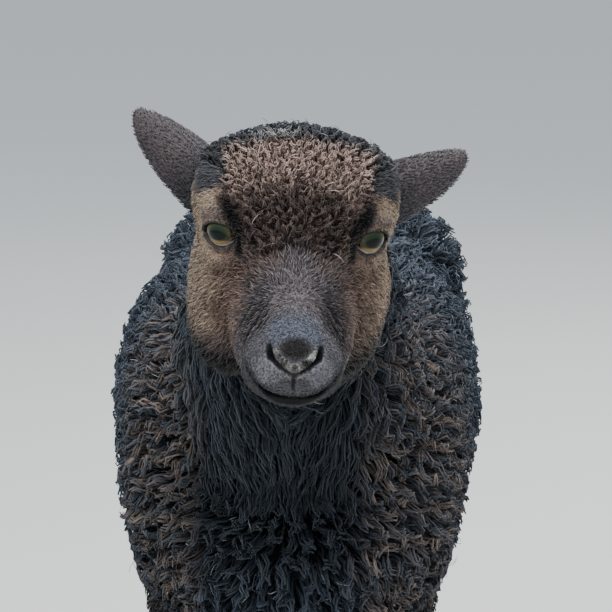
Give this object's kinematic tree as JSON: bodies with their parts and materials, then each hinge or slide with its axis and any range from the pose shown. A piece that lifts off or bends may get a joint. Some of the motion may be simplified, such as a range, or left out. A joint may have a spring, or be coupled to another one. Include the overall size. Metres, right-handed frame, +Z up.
{
  "type": "young lamb, life-size still model",
  "caption": "Young dark lamb with a curly fleece, standing still and looking at the viewer: a life-size, museum-like model.",
  "frame": {"origin": "on the floor, under the middle of the model's box", "axes": "+Z up, the lamb faces -Y, and its own left side is towards +X"},
  "size_m": [0.239, 0.7038, 0.5532],
  "materials": {
    "fleece": "tight black curls with a bluish-grey sheen, browner on the chest",
    "face": "short hair, reddish-brown and curled on the forehead, dark grey-brown on the muzzle",
    "ear": "short purplish-brown hair, darker at the root",
    "leg": "short sleek black hair",
    "eye": "wet, amber to olive iris with a level dark pupil",
    "hoof": "dark horn with faint growth rings"
  },
  "bodies": {
    "root": {"torso": "fleece", "neck": "fleece", "tail": "fleece", "head": "face", "ear_left": "ear", "eye_left": "eye", "foreleg_left_upper": "leg", "foreleg_left_lower": "leg", "foreleg_left_hoof_inner": "hoof", "foreleg_left_hoof_outer": "hoof", "hindleg_left_upper": "leg", "hindleg_left_lower": "leg", "hindleg_left_hoof_inner": "hoof", "hindleg_left_hoof_outer": "hoof", "ear_right": "ear", "eye_right": "eye", "foreleg_right_upper": "leg", "foreleg_right_lower": "leg", "foreleg_right_hoof_inner": "hoof", "foreleg_right_hoof_outer": "hoof", "hindleg_right_upper": "leg", "hindleg_right_lower": "leg", "hindleg_right_hoof_inner": "hoof", "hindleg_right_hoof_outer": "hoof"}
  },
  "joints": []
}
